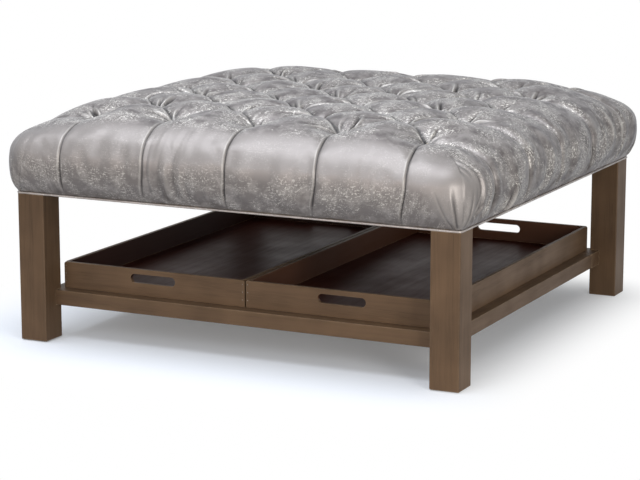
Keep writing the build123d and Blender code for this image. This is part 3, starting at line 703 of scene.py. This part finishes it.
# For each side, how deep its drag lines are in millimetres and how strongly their painted streaks
# of shade and highlight show. The side's number is also the seed of its noise.
DRAGS = {RIGHT: (3.4, 0.85), LEFT: (1.5, 0.2), BACK: (1.0, 0.2), FRONT: (1.4, 0.2)}
on_side = smooth(down, OUTER + 50, SIDE_START) * (1 - smooth(down, SKIN - 30, SKIN - 3))
side_of = by_side(RIGHT, LEFT, FRONT, BACK)
drag = np.zeros(len(skin))
for seed, (drag_deep, painted_streaks) in DRAGS.items():
    here = side_of == seed
    a, b = across[here], down[here]
    fine = waves(a, b, 8, 120, seed)
    broad = waves(a, b, 30, 190, seed + 10)
    where_strong = smooth(waves(a, b, 90, 130, seed + 20), -0.2, 0.8)
    ridged = 1 - np.abs(waves(a, b, 17, 150, seed + 30)) * 2
    pulled = 0.7 * fine * where_strong + 1.4 * broad + 1.2 * ridged * where_strong
    drag[here] = pulled * on_side[here] * drag_deep
    # The painted streaks of shade and highlight stay clear of the corners, where the cloth isn't
    # stretched.
    clear_of_corner = 1 - smooth(np.minimum(np.abs(plan_x[here]), np.abs(plan_y[here])), 400, 450)
    streak = (0.6 * fine + 0.8 * ridged) * where_strong * on_side[here] * clear_of_corner
    dark[here] = np.maximum(dark[here], painted_streaks * smooth(streak, 0.3, 0.8))
    lip[here] = np.maximum(lip[here], painted_streaks * smooth(-streak, 0.25, 0.7))
print("drag lines to", round(float(drag.max()), 1), "mm")

# %% Tucks at the corners
# For each tuck, whether it is on a left or right side, how far from the corner it ends and its depth.
TUCKS = ((False, 23, 4.0), (False, 60, 1.5), (True, 24, 2.5), (True, 52, 2.5), (True, 74, 2.5))
ring_half, ring_height = profile(down)[:2]
ring_radius = plan_radius(down)
over_welt = np.clip(ring_height - WELT, 0, 200)
# The distance to the corner line along the ring comes from the turn of the outward direction.
out_x, out_y = np.abs(outward[:, 0]), np.abs(outward[:, 1])
turn_left = math.pi / 4 - np.arctan2(np.minimum(out_x, out_y), np.maximum(out_x, out_y))
straight_left = np.maximum(ring_half - ring_radius - np.minimum(np.abs(plan_x), np.abs(plan_y)), 0)
from_corner = turn_left * ring_radius + straight_left
tuck = np.zeros(len(skin))
for sideways, reach, tuck_deep in TUCKS:
    tuck_at = 2 + reach * np.sqrt(np.clip(over_welt / BULGE_HEIGHT, 0, 1))
    fade = (1 - smooth(over_welt, 40, 95)) * smooth(over_welt, 0, 6)
    here = (on_sides == sideways) & (ring_height < BULGE_HEIGHT + 30)
    tuck += np.where(here, tuck_deep * lapped(from_corner - tuck_at, 2.2) * fade, 0)
    # Painted shade along each tuck.
    dark = np.maximum(dark, here * 0.14 * tuck_deep * np.exp(-np.abs(from_corner - tuck_at) / 1.5) * fade)
print("tucks to", round(float(tuck.max()), 1), "mm")

# %% How far the cloth is drawn in
# Under a tuft the cloth rests on the foam, and at the welt it is sewn down.
DEEPEST = 56.0
FOLD_CREASE, LIP_HIGH = 6.0, 2.2
pleat_crease = by_side(7.0, 7.0, 3.5, 3.5) * side_crease * closing
drawn = hollows + FOLD_CREASE * crease + pleat_crease + gathers + drag + tuck - LIP_HIGH * lip
drawn = DEEPEST * np.tanh(drawn / DEEPEST)
drawn *= 1 - smooth(down, SKIN - 5, SKIN - 1)
print("drawn in by", round(float(drawn.max()), 1), "mm at most")

# %% [markdown]
# ## Letting the cloth settle
#
# The last unevenness comes from a cloth simulation. A coarser copy of the net is held at its tufts,
# folds, pleats and welt, is cut a little too large, and is pushed out by the wadding under it. The
# spare cloth buckles into soft wrinkles between the places where it is held. How far each point
# went, at most six millimetres, is then spread over the fine net.

# %% Cloth simulation
COARSE = PITCH / 26
MOST = 6.0
LAST_FRAME = 20


def picked_lines():
    """The net's lines that stand nearest to an even coarse spacing, with the rim's two."""
    reach = int(SKIN / COARSE) - 1
    wanted = [-SKIN] + [k * COARSE for k in range(-reach, reach + 1)] + [SKIN]
    return np.unique([int(np.argmin(np.abs(steps - place))) for place in wanted])


def grid_faces(numbers):
    """The four-cornered faces of a square grid of point numbers."""
    corners = [numbers[:-1, :-1], numbers[:-1, 1:], numbers[1:, 1:], numbers[1:, :-1]]
    return np.stack(corners, axis=-1).reshape(-1, 4)


def spread(values, cell, part):
    """Smooth in-between values along the first axis of a grid."""
    last = len(values) - 1
    before, low = values[np.maximum(cell - 1, 0)], values[cell]
    high, after = values[cell + 1], values[np.minimum(cell + 2, last)]
    t = part[:, None, None]
    bend = 2 * before - 5 * low + 4 * high - after
    turn = 3 * low - before - 3 * high + after
    return 0.5 * (2 * low + (high - before) * t + bend * t ** 2 + turn * t ** 3)


def evened(values):
    """Each value along the first axis mixed with its two neighbours."""
    before = np.concatenate([values[:1], values[:-1]])
    after = np.concatenate([values[1:], values[-1:]])
    return 0.25 * before + 0.5 * values + 0.25 * after


def settle(start, grip):
    """How far the points of the net move when the wadding swells, in millimetres."""
    picks = picked_lines()
    wide = len(picks)
    chosen = (picks[:, None] * count + picks[None, :]).ravel()
    quads = grid_faces(np.arange(wide * wide).reshape(wide, wide))
    sample = mesh_object("settling_cloth", start[chosen] * MM, quads.tolist())
    holds = sample.vertex_groups.new(name="held")
    for n, weight in enumerate(grip[chosen].round(1)):
        if weight > 0:
            holds.add([n], float(weight), "REPLACE")
    cloth_sim = sample.modifiers.new("cloth", "CLOTH")
    feel = cloth_sim.settings
    feel.quality = 5
    feel.mass = 0.2
    feel.tension_stiffness = 20
    feel.compression_stiffness = 12
    feel.shear_stiffness = 6
    feel.bending_stiffness = 0.4
    feel.vertex_group_mass = "held"
    feel.shrink_min = -0.012
    feel.use_pressure = True
    feel.uniform_pressure_force = 1.2
    feel.effector_weights.gravity = 0.0
    cloth_sim.collision_settings.use_collision = False
    for frame_number in range(1, LAST_FRAME + 1):
        scene.frame_set(frame_number)
    settled = sample.evaluated_get(bpy.context.evaluated_depsgraph_get()).to_mesh()
    ends = np.zeros(wide * wide * 3)
    settled.vertices.foreach_get("co", ends)
    scene.frame_set(1)
    bpy.data.objects.remove(sample, do_unlink=True)
    move = ends.reshape(-1, 3) / MM - start[chosen]
    far = np.linalg.norm(move, axis=1, keepdims=True)
    move *= np.tanh(far / MOST) * MOST / np.maximum(far, TINY)
    cell = np.clip(np.searchsorted(steps[picks], steps, side="right") - 1, 0, wide - 2)
    part = (steps - steps[picks][cell]) / (steps[picks][cell + 1] - steps[picks][cell])
    grid = move.reshape(wide, wide, 3)
    for _ in range(2):
        grid = evened(evened(grid).swapaxes(0, 1)).swapaxes(0, 1)
    grid = spread(grid, cell, part)
    grid = spread(grid.swapaxes(0, 1), cell, part).swapaxes(0, 1)
    return grid.reshape(-1, 3)


settled_by = np.zeros_like(skin)
soft = skin - outward * (DEEPEST * np.tanh(hollows / DEEPEST))[:, None]
to_tuft = np.min([np.hypot(plan_x - x, plan_y - y) for x, y in tufts], axis=0)
grip = np.maximum(np.maximum(to_tuft < 13, down > SKIN - 6), side_crease > 0.2)
grip = np.maximum(grip, np.where(crease > 0.25, 0.6, 0.0))
settled_by = settle(soft, grip)
print("the cloth went at most", round(float(np.linalg.norm(settled_by, axis=1).max()), 1), "mm")

# %% [markdown]
# ## The cover as a closed body
#
# The cloth goes down to the welt, turns in under the edge and up again inside, over the deck frame
# and the foam, so the cover is a closed body with a hollow that the frame fits into.

# %% The cover's mesh
CLEAR = 0.4
FRAME_HALF, BOARD_TOP = 506.0 + CLEAR, 402.0 + CLEAR
FOAM_HALF, FOAM_TOP = 475.0 + CLEAR, 444.0 + CLEAR
HOLLOW = ((FRAME_HALF, DECK + WELT), (FRAME_HALF, BOARD_TOP), (FOAM_HALF, BOARD_TOP), (FOAM_HALF, FOAM_TOP))
skin = skin - outward * drawn[:, None] + settled_by
numbers = np.arange(count * count).reshape(count, count)
rim = np.concatenate([numbers[0, :-1], numbers[:-1, -1], numbers[-1, :0:-1], numbers[:0:-1, 0]])
cover_points, cover_faces = [skin], [grid_faces(numbers)]
made = len(skin)
last = rim
for half, height in HOLLOW:
    ring_points = skin[rim].copy()
    ring_points[:, :2] = np.clip(ring_points[:, :2] * (half / HALF_FRAME), -half, half)
    ring_points[:, 2] = height
    this = np.arange(made, made + len(rim))
    cover_faces.append(np.stack([last, np.roll(last, -1), np.roll(this, -1), this], axis=1)[:, ::-1])
    cover_points.append(ring_points)
    made += len(rim)
    last = this
cover_points = np.concatenate(cover_points) * MM
cover_faces = [tuple(int(i) for i in f) for f in np.concatenate(cover_faces)]
cover_faces.append(tuple(int(i) for i in last))
tufted_top = mesh_object("tufted_top", cover_points, cover_faces)
for name, values in (("crease_shade", dark), ("crease_lip_sheen", lip)):
    layer = tufted_top.data.attributes.new(name, "FLOAT", "POINT")
    padded_values = np.zeros(made, dtype=np.float32)
    padded_values[:len(values)] = values
    layer.data.foreach_set("value", padded_values)
# The weave keeps its place on the flat cloth, so its pattern turns over the edges with it.
flat_place = np.zeros((made, 3), dtype=np.float32)
flat_place[:len(net_a), 0] = net_a * MM
flat_place[:len(net_a), 1] = net_b * MM
layer = tufted_top.data.attributes.new("cloth_place", "FLOAT_VECTOR", "POINT")
layer.data.foreach_set("vector", flat_place.ravel())
print("cover faces:", len(tufted_top.data.polygons))

# %% [markdown]
# ## The upholstery cloth
#
# The cloth is a satin-faced weave in warm grey, with a pale distressed fleck woven in. Satin has long
# floats on its face, so it shines softly where it turns. The flecks are ragged strokes along the
# weft and the warp, drawn coarser than the real ones so that they show, and they come in clusters.
# Along the front's shoulder and on the front right corner, where the highlight falls, the flecks and
# the mottling are left out and the ground is kept light: painted highlight. The bottoms of creases
# are painted darker, as shade, and their lips paler, as highlight.

# %% Cloth
# The strokes' sizes in millimetres along the weft, along the warp and through the cloth.
WEFT_STROKE, WARP_STROKE = (8.5, 3.4, 3.0), (3.4, 7.5, 3.0)
# Where the painted highlight's washout of the pattern begins and where it is full, in metres.
WASHOUT_FORWARD, WASHOUT_HIGH, WASHOUT_CORNER = (-0.46, -0.50), (0.385, 0.425), (0.985, 1.015)


def fleck_strokes(tree, at, size_mm, least):
    """Ragged pale strokes of a size along each axis: noise cut off sharply at a level."""
    where = add(tree, "Mapping", {"Scale": [1 / (size * MM) for size in size_mm]}, {"Vector": at})
    noise = add(tree, "TexNoise", {"Scale": 1.0, "Detail": 3.0, "Roughness": 0.8}, {"Vector": where})
    return add(tree, "MapRange", {1: least, 2: least + 0.02}, {0: noise})


def highlight_washout(tree, at):
    """Low on the front's shoulder and on the front right corner, where the painted highlight washes the
    pattern out, and 1 elsewhere.
    """
    split = add(tree, "SeparateXYZ", {}, {0: at})
    begins, full = WASHOUT_FORWARD
    forward = add(tree, "MapRange", {"interpolation_type": "SMOOTHSTEP", 1: begins, 2: full},
                  {0: split.outputs["Y"]})
    begins, full = WASHOUT_HIGH
    high = add(tree, "MapRange", {"interpolation_type": "SMOOTHSTEP", 1: begins, 2: full},
               {0: split.outputs["Z"]})
    band = add(tree, "Math", {"operation": "MULTIPLY"}, {0: forward, 1: high})
    on_front = add(tree, "MapRange", {3: 1.0, 4: 0.6}, {0: forward})
    on_shoulder = add(tree, "MapRange", {3: 1.0, 4: 0.18}, {0: band})
    front = add(tree, "Math", {"operation": "MULTIPLY"}, {0: on_front, 1: on_shoulder})
    # The front right corner is where x less y is largest.
    begins, full = WASHOUT_CORNER
    diagonal = add(tree, "Math", {"operation": "SUBTRACT"}, {0: split.outputs["X"], 1: split.outputs["Y"]})
    on_corner = add(tree, "MapRange",
                    {"interpolation_type": "SMOOTHSTEP", 1: begins, 2: full, 3: 1.0, 4: 0.2}, {0: diagonal})
    return add(tree, "Math", {"operation": "MULTIPLY"}, {0: front, 1: on_corner})


def satin_cloth(name, cut_from=None, ground="#918C89", shade="#67615F", fleck="#EEEBE4"):
    """Warm grey satin with pale flecks in clusters. Its pattern lies in space, or on the flat cloth
    that the mesh's values named by cut_from give."""
    material, tree = new_material(name)
    at = add(tree, "TexCoord").outputs["Object"]
    plain = highlight_washout(tree, at)
    if cut_from:
        at = add(tree, "Attribute", {"attribute_name": cut_from}).outputs["Vector"]
    # Clusters of flecks are about 70 mm wide with ragged edges.
    cluster = add(tree, "TexNoise", {"Scale": 14.0, "Detail": 5.0, "Roughness": 0.7}, {"Vector": at})
    cluster = add(tree, "MapRange", {1: 0.44, 2: 0.55}, {0: cluster})
    cluster = add(tree, "Math", {"operation": "MULTIPLY"}, {0: cluster, 1: plain})
    weft = fleck_strokes(tree, at, WEFT_STROKE, 0.578)
    warp = fleck_strokes(tree, at, WARP_STROKE, 0.592)
    strokes = add(tree, "Math", {"operation": "MAXIMUM"}, {0: weft, 1: warp})
    flecks = add(tree, "Math", {"operation": "MULTIPLY"}, {0: cluster, 1: strokes})
    # The ground between them is mottled in patches, and kept even and light where the painted highlight
    # washes the pattern out.
    patch = add(tree, "TexNoise", {"Scale": 30.0, "Detail": 6.0, "Roughness": 0.65}, {"Vector": at})
    patch = add(tree, "MapRange", {1: 0.38, 2: 0.60}, {0: patch})
    clear = add(tree, "Math", {"operation": "SUBTRACT", 0: 1.0}, {1: plain})
    patch = add(tree, "Math", {"operation": "MAXIMUM"}, {0: patch, 1: clear})
    base = add(tree, "MixRGB", {1: shade, 2: ground}, {0: patch})
    haze = add(tree, "Math", {"operation": "MULTIPLY", 1: 0.05}, {0: cluster})
    base = add(tree, "MixRGB", {2: fleck}, {0: haze, 1: base})
    colour = add(tree, "MixRGB", {2: fleck}, {0: flecks, 1: base})
    # The bottom of a crease is painted darker, as shade, and its lip paler, as highlight.
    bend = add(tree, "NewGeometry")
    hollow = add(tree, "MapRange", {1: 0.42, 2: 0.497, 3: 0.4, 4: 1.0}, {0: bend.outputs["Pointiness"]})
    colour = add(tree, "MixRGB", {"blend_type": "MULTIPLY", 0: 1.0}, {1: colour, 2: hollow})
    on_lip = add(tree, "Attribute", {"attribute_name": "crease_lip_sheen"})
    lip_ridge_and_sheen = add(tree, "Math", {"operation": "MULTIPLY", 1: 0.45}, {0: on_lip.outputs["Fac"]})
    colour = add(tree, "MixRGB", {2: fleck}, {0: lip_ridge_and_sheen, 1: colour})
    in_crease = add(tree, "Attribute", {"attribute_name": "crease_shade"})
    crease_shaded = add(tree, "MapRange", {3: 1.0, 4: 0.12}, {0: in_crease.outputs["Fac"]})
    colour = add(tree, "MixRGB", {"blend_type": "MULTIPLY", 0: 1.0}, {1: colour, 2: crease_shaded})
    gloss = add(tree, "MapRange", {3: 0.46, 4: 0.62}, {0: flecks})
    # The threads lie some 0.3 mm apart. Their relief is drawn at about 1 mm so that it shows.
    thread = add(tree, "TexNoise", {"Scale": 900.0, "Detail": 2.0}, {"Vector": at})
    relief = add(tree, "Bump", {"Strength": 0.15, "Distance": 0.0004}, {"Height": thread})
    # Long floats shine almost like metal, and a little bluer than the cloth itself.
    satin = add(tree, "BsdfPrincipled",
                {"Specular IOR Level": 0.6, "Metallic": 0.5, "Specular Tint": "#C4CCDA"},
                {"Base Color": colour, "Roughness": gloss, "Normal": relief})
    add(tree, "OutputMaterial", {}, {"Surface": satin})
    return material


cloth = satin_cloth("distressed_satin_cloth", "cloth_place")
tufted_top.data.materials.append(cloth)
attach(tufted_top, "table")
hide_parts("tufted_cushion")
print("cloth on:", tufted_top.name)

# %% [markdown]
# ## The welt
#
# A welt is a strip of the same cloth, cut on the bias and sewn round a cord. It hides the edge where
# the cover is tacked to the frame. The strip puckers a little at its stitches, so the cord's
# thickness wavers. It is a tube swept round the frame, with its corners turned on a small radius.

# %% Welt
def round_square(half, radius, step):
    """Points and outward directions round a square with round corners, about a step apart."""
    straight = half - radius
    sides, turns = max(int(2 * straight / step), 2), max(int(radius * math.pi / 2 / step), 6)
    one_side = [(half, -straight + 2 * straight * i / sides, 0.0) for i in range(sides)]
    bends = [math.pi / 2 * i / turns for i in range(turns)]
    one_side += [(straight + radius * math.cos(b), straight + radius * math.sin(b), b) for b in bends]
    path = []
    for quarter in range(4):
        angle = quarter * math.pi / 2
        c, s = math.cos(angle), math.sin(angle)
        path += [(x * c - y * s, x * s + y * c, angle + b) for x, y, b in one_side]
    return path


def cord_tube(name, path, height, radius, around):
    """A closed tube along a level path, whose radius wavers as a sewn cord's does."""
    tube_points = []
    for n, (x, y, away) in enumerate(path):
        # Two waves that don't fit one another make the cord up to a tenth thinner in places.
        wide = radius * (1 - 0.05 + 0.03 * math.sin(n * 0.9) + 0.02 * math.sin(n * 2.3 + 1))
        for k in range(around):
            turn = 2 * math.pi * k / around
            out = wide * math.cos(turn)
            tube_points.append(((x + out * math.cos(away)) * MM, (y + out * math.sin(away)) * MM,
                                (height + wide * math.sin(turn)) * MM))
    tube_faces = []
    for n in range(len(path)):
        here, ahead = n * around, (n + 1) % len(path) * around
        tube_faces += [(here + k, ahead + k, ahead + (k + 1) % around, here + (k + 1) % around)
                       for k in range(around)]
    return mesh_object(name, tube_points, tube_faces)


WELT_RADIUS = WELT / 2
CLOTH_THICK = 2.0
path = round_square(HALF_FRAME - CLOTH_THICK + WELT_RADIUS, 7.0, 3.0)
welt_cord = cord_tube("welt_cord", path, DECK + WELT_RADIUS, WELT_RADIUS, 12)
# The welt has the top's cloth in lighter colours: painted light, against the shade it sits in under the
# bulge.
lighter_welt_cloth = satin_cloth("bias_cut_satin_welt", ground="#B5ADA8", shade="#968E8A", fleck="#E4E1DD")
welt_cord.data.materials.append(lighter_welt_cloth)
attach(welt_cord, "table")
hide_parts("welt")
print("welt points:", len(path))

# %% [markdown]
# ## The dust cover
#
# Thin black spun cloth closes the underside. It is cut round the legs, stretched and stapled to the
# rails, and sags a little in the middle. Spun cloth has no weave, only matted fibres.

# %% Dust cover
COVER_HALF, COVER_CUT, COVER_THICK = 498.0, 441.5, 0.8
SAG, SAG_HALF = 2.2, 510


def sag(x, y):
    """How far the cloth hangs down at a place, in millimetres."""
    return SAG * math.cos(math.pi * x / 2 / SAG_HALF) ** 2 * math.cos(math.pi * y / 2 / SAG_HALF) ** 2


edge = np.linspace(COVER_CUT, COVER_HALF, 5)
grid = np.concatenate([-edge[::-1], np.linspace(-COVER_CUT, COVER_CUT, 61)[1:-1], edge])
sheet_points = [(x * MM, y * MM, (DECK - COVER_THICK / 2 - sag(x, y)) * MM) for y in grid for x in grid]
wide = len(grid)
middles = (grid[:-1] + grid[1:]) / 2
sheet_faces = [(j * wide + i, j * wide + i + 1, (j + 1) * wide + i + 1, (j + 1) * wide + i)
               for j in range(wide - 1) for i in range(wide - 1)
               if min(abs(middles[i]), abs(middles[j])) < COVER_CUT]
# The points of the corners that are cut away are left out.
used = sorted({k for f in sheet_faces for k in f})
number_of = {k: n for n, k in enumerate(used)}
dust_sheet = mesh_object("dust_sheet", [sheet_points[k] for k in used],
                         [tuple(number_of[k] for k in f) for f in sheet_faces])
thick = dust_sheet.modifiers.new("thickness", "SOLIDIFY")
thick.thickness = COVER_THICK * MM
thick.offset = 0.0
black_cloth = plain_finish("black_spun_cloth", "#1B1B1C", "#2C2C2E", 1.2, 0.92, bump_mm=0.25)
dust_sheet.data.materials.append(black_cloth)
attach(dust_sheet, "table")
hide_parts("dust_cover")
side = 2 * COVER_HALF * MM
print("dust cover is", round(side, 3), "m square before its corners are cut")
